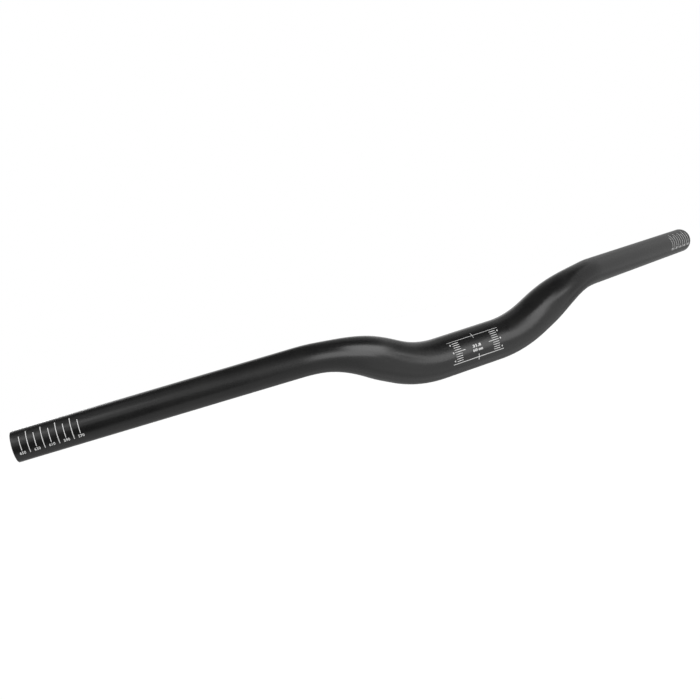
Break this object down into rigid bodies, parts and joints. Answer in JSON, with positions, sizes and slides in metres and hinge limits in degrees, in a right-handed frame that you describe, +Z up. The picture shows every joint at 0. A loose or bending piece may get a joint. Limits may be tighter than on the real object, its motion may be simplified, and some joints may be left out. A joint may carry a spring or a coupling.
{
  "type": "riser handlebar",
  "caption": "Riser handlebar: a hollow butted tube, wide at the stem clamp, bent up and swept back on each side to straight, slimmer grips with open ends.",
  "frame": {"origin": "middle of the stem clamp zone, on the tube's axis", "axes": "+X along the clamp zone's axis, towards the bar's right-hand end as seen from the front with the rise upwards; +Z up, the way the bar rises; the grips lie level and sweep back towards +Y, the rider's side"},
  "size_m": [0.6676, 0.1043, 0.056],
  "materials": {
    "black_anodised": "bead-blasted and black anodised, satin to matte",
    "white_print": "thin screen-printed ink, matte"
  },
  "bodies": {
    "root": {"handlebar": "black_anodised"}
  },
  "joints": []
}
